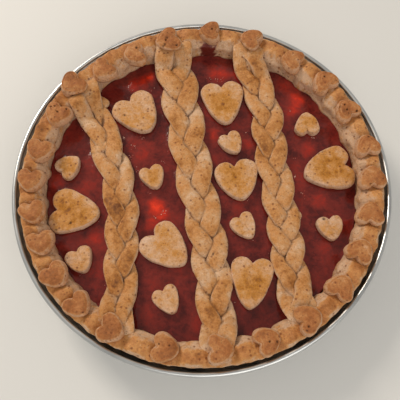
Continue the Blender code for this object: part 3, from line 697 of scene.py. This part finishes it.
def markGroovesAndShade(mesh, strands, layer, shape):
    # grooves, and dark lines of painted shade, where the sides of two strands meet, but not where two tops
    # only lie level
    bmesh.ops.recalc_face_normals(mesh, faces=mesh.faces)
    mesh.normal_update()
    trees = [nearestTree([point.co for point in strand]) for strand in strands]
    reach = shape["creaseReach"]
    sunk = []
    for own, strand in enumerate(strands):
        for point in strand:
            found = []
            for other, tree in enumerate(trees):
                if other != own:
                    _, number, away = tree.find(point.co)
                    found.append((away, point.normal.dot(strands[other][number].normal)))
            away, alike = min(found)
            meeting = 1 - smoothStep(alike, *shape["alike"])
            meeting *= 1 - smoothStep(math.hypot(point.co.x, point.co.y), *shape["creasesEnd"])
            # the painted shade is darkest where all three strands meet
            tip = 1 - smoothStep(max(found)[0], 0.8 * reach, 2.4 * reach)
            strength = min(0.42 + 0.50 * noise.noise(point.co / 0.008) + 0.45 * tip, 0.95)
            strength = max(strength, 0.12)
            # painted shade along the line where this strand meets another
            point[layer] = strength * meeting * (1 - smoothStep(away, 0.35 * reach, reach))
            sunk.append((point, meeting * (1 - smoothStep(away, 0.0, shape["grooveReach"]))))
    for point, share in sunk:
        point.co.z -= shape["grooveDepth"] * share


def makePlait(name, material):
    plait, shape = plaits[name], plaitShape
    route = smoothRoute([(x, y, 0.0) for x, y in plait["route"]], shape["spacing"])
    last = len(route) - 1
    farWidth, nearWidth = plait["widths"]
    mesh = bmesh.new()
    creaseShadeLayer = mesh.verts.layers.float.new("creaseShade")
    lines = []
    strands = []
    for strand in range(3):
        stations = []
        for number, point in enumerate(route):
            ahead = route[min(number + 1, last)] - route[max(number - 1, 0)]
            across = Vector((-ahead.y, ahead.x, 0.0)).normalized()
            width = farWidth + (nearWidth - farWidth) * number / last
            turn = math.tau * (divesPassed(point.y, plait["dives"]) / 6 + shape["diveTurn"][plait["first"]]
                               + strand / 3)
            sway = math.asin(shape["sway"] * math.sin(turn)) / math.asin(shape["sway"])
            uneven = 1 + shape["uneven"] * noise.noise(Vector((number * 0.035, strand * 3.1, len(name))))
            strandWidth = shape["share"] * width * uneven
            place = point - across * ((width - strandWidth) / 2 * sway)
            if place.length > shape["endRadius"]:
                continue
            squeeze = 1 - 0.45 * smoothStep(point.length, crustSize["inner"] - 0.008, crustSize["inner"])
            over = 1 - smoothStep(place.length, shape["thinFrom"], shape["endRadius"])
            squeeze *= 0.25 + 0.75 * over
            # on top while it crosses one way, below on the way back
            above = -math.sin(2 * turn)
            # at the far border the two outer ones lie over
            atFarEnd = smoothStep(point.length, *shape["farEnd"]) if point.y > 0 else 0.0
            above += (1.6 * abs(math.sin(turn)) - 1.0 - above) * atFarEnd
            top = shape["thickness"] + shape["rise"] * (1 + above)
            outer = abs(math.sin(turn)) ** 3
            foot = (top - shape["thickness"]) * (1 - outer) + shape["foot"] * outer
            centre = Vector((place.x, place.y, restLevel(place) + (top + foot) / 2 * squeeze))
            stations.append((centre, strandWidth / 2 * (0.8 + 0.2 * over), (top - foot) / 2 * squeeze))
        fresh = len(mesh.verts)
        sweepTube(mesh, stations, shape["sides"], shape["square"])
        mesh.verts.ensure_lookup_table()
        strands.append(mesh.verts[fresh:])
        lines.append([(station[0], station[1]) for station in stations])
    markGroovesAndShade(mesh, strands, creaseShadeLayer, shape)
    for owner, root, tip in looseEnds:
        if owner == name:
            start = Vector((*root, fillingSize["level"] + shape["looseRadius"]))
            end = Vector((*tip, fillingSize["level"] + 0.8 * shape["looseRadius"]))
            stations = []
            for part in range(shape["looseParts"] + 1):
                share = part / shape["looseParts"]
                radius = shape["looseRadius"] * (1 - 0.12 * share) * math.sqrt(max(1 - share ** 10, 0.06))
                stations.append((start.lerp(end, share), radius, 0.72 * radius))
            sweepTube(mesh, stations, shape["looseSides"], shape["square"])
    bakeSurface(mesh, plaitLook | {"seed": (len(name) * 0.37, 0.6, 0.2)}, *shape["browns"], restLevel)
    piece = name.replace("_l", "L").replace("_m", "M").replace("_r", "R")
    finishPiece(mesh, piece, material, [name])
    return lines


# cherry filling: set juice with whole cherries under it, drawn up a little against everything it touches
brightCherries = (
    # x, y, radius, how strongly painted light glows through the juice over it
    (-0.0378, 0.0854, 0.0062, 1.00), (-0.0430, 0.0820, 0.0070, 0.55), (0.0079, 0.0900, 0.0070, 0.42),
    (0.0160, 0.0890, 0.0070, 0.48), (0.0251, 0.0880, 0.0060, 0.58), (-0.0509, 0.0785, 0.0080, 0.40),
    (0.0700, 0.0664, 0.0075, 0.58), (0.0668, 0.0580, 0.0070, 0.45), (0.0789, -0.0118, 0.0080, 0.35),
    (-0.0313, -0.0170, 0.0078, 0.84), (-0.0262, -0.0222, 0.0064, 0.62), (-0.0330, -0.0280, 0.0070, 0.46),
    (-0.0398, 0.0258, 0.0095, 0.34), (0.0090, 0.0376, 0.0070, 0.40), (0.0750, 0.0258, 0.0090, 0.32),
    (-0.0973, 0.0014, 0.0070, 0.42), (-0.0703, -0.0364, 0.0080, 0.28), (0.0308, 0.0297, 0.0070, 0.30),
)


cherryGrid = {"spacing": 0.0172, "rows": 7, "shake": 0.007, "within": 0.099, "apart": 0.011}


def cherryPlaces():
    # a shaken six-sided grid of cherries, most of them deep under the juice
    grid = cherryGrid
    places = list(brightCherries)
    for row in range(-grid["rows"], grid["rows"] + 1):
        for column in range(-grid["rows"], grid["rows"] + 1):
            x = (column + 0.5 * (row % 2)) * grid["spacing"]
            y = row * grid["spacing"] * 0.87
            shake = noise.noise_vector(Vector((x * 210, y * 190, 1.7)))
            x += grid["shake"] * shake.x
            y += grid["shake"] * shake.y
            near = min(math.hypot(x - other[0], y - other[1]) for other in places)
            if math.hypot(x, y) < grid["within"] and near > grid["apart"]:
                places.append((x, y, 0.0085 + 0.0018 * shake.z, 0.06 + 0.22 * abs(shake.z)))
    return places


def fillingMaterial():
    # cherry juice set with starch: clear dark red gel, wet and glossy; brighter red over a cherry near the
    # top, the cherry's own red with painted light glowing through the gel
    material, tree, shader = newMaterial("setCherryJuice")
    place = addNode(tree, "TexCoord").outputs["Object"]
    glow = addNode(tree, "Attribute", attribute_name="glow").outputs["Fac"]
    cloud = addNode(tree, "TexNoise", {
        "Vector": place, "Scale": 1 / 0.014, "Detail": 4.0, "Roughness": 0.55})
    fibre = addNode(tree, "TexNoise", {
        "Vector": place, "Scale": 1 / 0.0030, "Detail": 3.0, "Distortion": 0.8})
    cloudPart = addNode(tree, "Math", {0: cloud, 1: 0.72, 2: -0.235},
                        operation="MULTIPLY_ADD")
    fibreShare = addNode(tree, "Math", {0: glow, 1: 0.45, 2: 0.42}, operation="MULTIPLY_ADD")
    fibreCentred = addNode(tree, "Math", {0: fibre, 1: 0.5}, operation="SUBTRACT")
    fibrePart = addNode(tree, "Math", {
        0: fibreCentred, 1: fibreShare, 2: cloudPart}, operation="MULTIPLY_ADD")
    share = addNode(tree, "Math", {0: glow, 1: fibrePart}, operation="ADD", use_clamp=True)
    tone = addNode(tree, "ValToRGB", {0: share}, stops=[
        (0.0, "521a18"), (0.22, "782821"), (0.48, "97291d"), (0.75, "ba2f1b"), (1.0, "df3c20")])
    ripple = addNode(tree, "TexNoise", {"Vector": place, "Scale": 1 / 0.0060, "Detail": 2.0})
    fine = addNode(tree, "TexNoise", {"Vector": place, "Scale": 1 / 0.0016, "Detail": 2.0})
    wet = addNode(tree, "Math", {0: fine, 1: 0.22, 2: ripple},
                  operation="MULTIPLY_ADD")
    bump = addNode(tree, "Bump", {"Height": wet, "Strength": 0.45, "Distance": 0.0006})
    fillSockets(tree, shader, {
        "Base Color": tone, "Normal": bump, "Roughness": 0.14, "IOR": 1.36, "Subsurface Weight": 0.12,
        "Subsurface Radius": (1.0, 0.15, 0.10), "Subsurface Scale": 0.002})
    return material


def makeFilling(material, touching):
    size = fillingSize
    profile = [(size["radius"] * ring / size["rings"], size["level"]) for ring in range(size["rings"] + 1)]
    mesh = spinProfile(profile + [(size["foot"], size["floor"]), (0.0, size["floor"])], size["segments"])
    glowLayer = mesh.verts.layers.float.new("glow")
    places = cherryPlaces()
    tree = nearestTree([(place.x, place.y, 0.0) for place in touching])
    cherryTree = nearestTree([(cherry[0], cherry[1], 0.0) for cherry in places])
    for point in mesh.verts:
        if point.co.z < size["level"] - 0.0001:
            continue
        flat = Vector((point.co.x, point.co.y, 0.0))
        drift = noise.noise_vector(flat / 0.006) * 0.0028
        swell = glow = 0.0
        for _, number, away in cherryTree.find_n(flat + Vector((drift.x, drift.y, 0.0)), 3):
            radius, bright = places[number][2], places[number][3]
            near = 1 - smoothStep(away, 0.05 * radius, 1.15 * radius)
            swell = max(swell, near * (0.4 + 0.6 * bright))
            glow = max(glow, near * bright)
        edge = math.exp(-tree.find(flat)[2] / size["reach"])
        edge = max(edge, math.exp(-(size["radius"] - flat.length) / size["reach"]))
        wave = noise.fractal(flat / 0.013, 1.0, 2.0, 2)
        point.co.z += size["cherryHeight"] * (swell - 0.45) + size["wave"] * wave + size["meniscus"] * edge
        # painted glow of light through the gel over the cherries, weaker next to the pieces and the wall
        point[glowLayer] = glow * (1 - 0.7 * edge)
    return finishPiece(mesh, "cherryFilling", material, ["filling"])


# foam bubbles left where the juice boiled, pale so that they stand for the glints on the juice as painted
# highlights: where a group of them lies and how many
foamGlintGroups = (
    (-0.0374, 0.0750, 5), (0.0056, 0.0854, 4), (0.0110, 0.0842, 5), (0.0153, 0.0836, 4),
    (-0.0507, 0.0750, 4), (0.0644, 0.0580, 5), (-0.0259, -0.0196, 7), (-0.0315, -0.0240, 5),
    (0.0800, 0.0352, 4), (0.0703, -0.0089, 4), (-0.0448, 0.0104, 6), (-0.0276, 0.0165, 4),
    (-0.0560, 0.0360, 6), (0.0650, 0.0200, 5), (0.0330, 0.0400, 3), (-0.0480, 0.0280, 7),
    (-0.0420, 0.0360, 6), (-0.0500, 0.0200, 6), (-0.0360, -0.0060, 5), (0.0640, 0.0060, 5),
    (0.0680, -0.0060, 4), (0.0300, -0.0120, 4),
)
foamGlintSize = {"smallest": 0.00016, "largest": 0.00042, "spread": 0.0040, "alongPlaits": 41,
              "offPlait": 0.0022}


def foamGlintMaterial():
    # foam of boiled cherry juice: thin pink skin over air, pale pink to nearly white, a painted highlight for
    # the glints on the juice
    material, tree, shader = newMaterial("foamGlintFinish")
    place = addNode(tree, "TexCoord").outputs["Object"]
    tint = addNode(tree, "TexNoise", {"Vector": place, "Scale": 1 / 0.004, "Detail": 1.0})
    tone = addNode(tree, "ValToRGB", {0: tint}, stops=[(0.35, "a8483a"), (0.65, "e3b9a8")])
    fillSockets(tree, shader, {"Base Color": tone, "Roughness": 0.18})
    return material


def makeFoamGlints(material, touching):
    size = foamGlintSize
    spots = []
    for x, y, count in foamGlintGroups:
        for number in range(count):
            shake = noise.noise_vector(Vector((x * 300 + number * 1.37, y * 300, 2.1 * number)))
            spots.append((x + size["spread"] * shake.x, y + size["spread"] * shake.y, abs(shake.z)))
    for number, place in enumerate(touching[::size["alongPlaits"]]):
        shake = noise.noise_vector(Vector((place.x * 410, place.y * 370, 0.9)))
        outward = Vector((shake.x, shake.y)).normalized() * size["offPlait"]
        spots.append((place.x + outward.x, place.y + outward.y, abs(shake.z)))
    mesh = bmesh.new()
    for x, y, share in spots:
        if math.hypot(x, y) < fillingSize["radius"] - 0.003:
            radius = size["smallest"] + (size["largest"] - size["smallest"]) * min(1.6 * share, 1.0)
            spot = Matrix.Translation((x, y, fillingSize["level"] + 0.3 * radius))
            bmesh.ops.create_icosphere(mesh, subdivisions=2, radius=radius, matrix=spot)
    return finishPiece(mesh, "foamGlintSpecks", material)


# build the pieces
makeTin(tinplateMaterial())
print("tin turned")

crustPastry = pastryMaterial("bakedShortcrust", {
    "patch": 0.80, "mottle": 0.80, "speckSpacing": 0.0036, "poreSpacing": 0.0019,
    "tones": [(0.0, "cca888"), (0.25, "c48b51"), (0.50, "b27642"), (0.75, "935a26"), (1.0, "623515")]})
cutPastry = pastryMaterial("eggWashedShortcrust", {
    "patch": 0.80, "mottle": 0.84, "speckSpacing": 0.0034, "poreSpacing": 0.0016,
    "tones": [(0.0, "d0ad91"), (0.25, "c79a71"), (0.50, "bf8646"), (0.75, "ab6f20"), (1.0, "703d13")]})
plaitPastry = pastryMaterial("plaitedShortcrust", {
    "patch": 0.90, "mottle": 0.92, "speckSpacing": 0.0034, "poreSpacing": 0.0017,
    "tones": [(0.0, "cdaa89"), (0.25, "c49465"), (0.50, "bf864d"), (0.75, "a46a30"), (1.0, "6e3f1c")]})
# pastry of the border hearts: browned further, its darker tones partly painted shade
brownedAndShadedPastry = pastryMaterial("brownedAndShadedShortcrust", {
    "patch": 0.78, "mottle": 0.80, "speckSpacing": 0.0030, "poreSpacing": 0.0017,
    "tones": [(0.0, "c49a78"), (0.25, "b57c49"), (0.50, "a06232"), (0.75, "824c22"), (1.0, "572e12")]})

makeCrust(crustPastry)
print("crust crimped")

touching = []
for hearts, kind in ((largeHearts, "large"), (smallHearts, "small")):
    for heart in hearts:
        makeFillingHeart(*heart, heartShape[kind + "Thickness"], heartShape[kind + "Steps"], cutPastry)
for heart in largeHearts + smallHearts:
    node, x, y, tip, width, length = heart
    turned = Matrix.Rotation(math.radians(tip), 2)
    touching += [turned @ point + Vector((x, y)) for point in heartOutline(width, length, 20, 16)]
print("hearts laid")

for number in range(1, len(rimHearts["bearings"]) + 1):
    makeRimHeart(number, brownedAndShadedPastry)
print("border hearts laid")

for name in plaits:
    for line in makePlait(name, plaitPastry):
        for (before, halfWidth), (ahead, _) in zip(line, line[1:]):
            side = Vector((before.y - ahead.y, ahead.x - before.x)).normalized() * halfWidth
            touching += [Vector((before.x, before.y)) + side, Vector((before.x, before.y)) - side]
print("plaits laid")

makeFilling(fillingMaterial(), touching)
makeFoamGlints(foamGlintMaterial(), touching)
print("filling poured")


# floor and soft studio light
def makeFloor():
    mesh = bmesh.new()
    bmesh.ops.create_grid(mesh, x_segments=1, y_segments=1, size=2.5)
    data = bpy.data.meshes.new("floor")
    mesh.to_mesh(data)
    mesh.free()
    floor = bpy.data.objects.new("floor", data)
    floor.location.z = -0.0003
    scene.collection.objects.link(floor)
    material, tree, shader = newMaterial("paleTable")
    fillSockets(tree, shader, {"Base Color": toLinear("d8d8d6"), "Roughness": 0.6})
    data.materials.append(material)


def addLight(name, place, energy, size, colour):
    lamp = bpy.data.lights.new(name, "AREA")
    lamp.energy = energy
    lamp.size = size
    lamp.color = toLinear(colour)[:3]
    thing = bpy.data.objects.new(name, lamp)
    thing.location = place
    thing.rotation_mode = "QUATERNION"
    thing.rotation_quaternion = (rimCentre - Vector(place)).to_track_quat("-Z", "Y")
    scene.collection.objects.link(thing)


makeFloor()
addLight("keyLight", (-0.75, 0.85, 0.95), 12.0, 0.45, "fff3e4")
addLight("fillLight", (0.35, -0.95, 0.95), 8.0, 1.2, "fbf6ef")
world = bpy.data.worlds.new("studio")
scene.world = world
world.use_nodes = True
world.node_tree.nodes["Background"].inputs["Color"].default_value = toLinear("f1ece4")
world.node_tree.nodes["Background"].inputs["Strength"].default_value = 0.54
scene.view_settings.view_transform = "Standard"
print("lights set")
